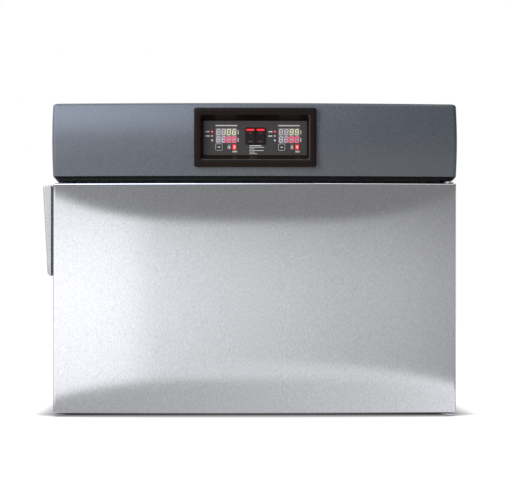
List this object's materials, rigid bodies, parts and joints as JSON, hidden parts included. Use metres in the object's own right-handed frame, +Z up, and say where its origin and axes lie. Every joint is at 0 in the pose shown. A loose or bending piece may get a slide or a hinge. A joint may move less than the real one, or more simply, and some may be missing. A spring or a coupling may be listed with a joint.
{
  "type": "blanket warming cabinet",
  "caption": "Countertop blanket warming cabinet: bow-fronted stainless door on a side hinge, tapered edge pull, heated chambers, crowned control head with displays, keys and rocker switches.",
  "frame": {"origin": "middle of the footprint box, on the surface that the feet stand on", "axes": "+Z up, +X to the right as seen from the door, +Y to the back; the door is at -Y and hinged at its +X end"},
  "size_m": [0.7822, 0.639, 0.5905],
  "materials": {
    "stainless": "satin",
    "galvanised": "satin",
    "chrome_wire": "polished",
    "charcoal_shell": "satin",
    "black_plastic": "satin",
    "plate_paint": "satin",
    "display_lens": "gloss",
    "key_dark": "satin",
    "key_red": "satin",
    "cast_pull": "satin",
    "rubber": "matte",
    "gasket": "matte",
    "insulation": "matte",
    "heater_mat": "matte",
    "nylon": "satin",
    "relay_grey": "matte"
  },
  "bodies": {
    "cabinet": {"case_wrap": "stainless", "face_frame": "stainless", "back_panel": "stainless", "foot_front_left": "rubber", "foot_front_right": "rubber", "foot_rear_left": "rubber", "foot_rear_right": "rubber", "insulation_wrap": "insulation", "insulation_rear": "insulation", "chamber_liner": "stainless", "heater_mat_upper": "heater_mat", "heater_mat_lower": "heater_mat", "air_probe_upper": "chrome_wire", "air_probe_lower": "chrome_wire", "limit_thermostat_upper": "galvanised", "limit_thermostat_lower": "galvanised", "side_rack_left": "stainless", "side_rack_right": "stainless", "divider_pan": "stainless", "divider_core": "insulation", "divider_floor": "stainless", "wire_shelf_upper": "chrome_wire", "wire_shelf_lower": "chrome_wire", "hinge_bracket_top": "stainless", "hinge_bracket_bottom": "stainless", "hinge_pin_top": "galvanised", "hinge_pin_bottom": "galvanised", "strike_plate": "galvanised", "head_cover": "charcoal_shell", "head_tray": "galvanised", "power_inlet": "black_plastic", "relay_upper": "relay_grey", "relay_lower": "relay_grey", "terminal_block": "black_plastic", "panel_bezel": "black_plastic", "control_plate": "plate_paint", "controller_upper": "black_plastic", "controller_lower": "black_plastic", "display_upper": "display_lens", "display_lower": "display_lens", "switch_body_upper": "black_plastic", "switch_body_lower": "black_plastic"},
    "door": {"door_skin": "stainless", "door_core": "insulation", "door_inner_panel": "stainless", "door_gasket": "gasket", "door_pull": "cast_pull", "pull_base": "black_plastic", "latch_magnet": "rubber", "hinge_bush_top": "nylon", "hinge_bush_bottom": "nylon"},
    "upper_rocker": {"rocker_upper": "black_plastic"},
    "lower_rocker": {"rocker_lower": "black_plastic"},
    "upper_set_key": {"set_key_upper": "key_dark"},
    "upper_down_key": {"down_key_upper": "key_dark"},
    "upper_up_key": {"up_key_upper": "key_red"},
    "lower_set_key": {"set_key_lower": "key_dark"},
    "lower_down_key": {"down_key_lower": "key_dark"},
    "lower_up_key": {"up_key_lower": "key_red"}
  },
  "joints": [
    {"name": "door_hinge", "type": "hinge", "parent": "cabinet", "child": "door", "pos_m": [0.37691, -0.2715, 0.223], "axis": [0, 0, 1], "range_deg": [0, 150]},
    {"name": "upper_rocker_tip", "type": "hinge", "parent": "cabinet", "child": "upper_rocker", "pos_m": [-0.00009, -0.3022, 0.52835], "axis": [1, 0, 0], "range_deg": [-16, 0]},
    {"name": "lower_rocker_tip", "type": "hinge", "parent": "cabinet", "child": "lower_rocker", "pos_m": [0.01911, -0.3022, 0.52835], "axis": [1, 0, 0], "range_deg": [-16, 0]},
    {"name": "upper_set_press", "type": "slide", "parent": "cabinet", "child": "upper_set_key", "axis": [0, 1, 0], "range_m": [0, 0.0008], "stiffness_N_per_m": 800},
    {"name": "upper_down_press", "type": "slide", "parent": "cabinet", "child": "upper_down_key", "axis": [0, 1, 0], "range_m": [0, 0.0008], "stiffness_N_per_m": 800},
    {"name": "upper_up_press", "type": "slide", "parent": "cabinet", "child": "upper_up_key", "axis": [0, 1, 0], "range_m": [0, 0.0008], "stiffness_N_per_m": 800},
    {"name": "lower_set_press", "type": "slide", "parent": "cabinet", "child": "lower_set_key", "axis": [0, 1, 0], "range_m": [0, 0.0008], "stiffness_N_per_m": 800},
    {"name": "lower_down_press", "type": "slide", "parent": "cabinet", "child": "lower_down_key", "axis": [0, 1, 0], "range_m": [0, 0.0008], "stiffness_N_per_m": 800},
    {"name": "lower_up_press", "type": "slide", "parent": "cabinet", "child": "lower_up_key", "axis": [0, 1, 0], "range_m": [0, 0.0008], "stiffness_N_per_m": 800}
  ]
}
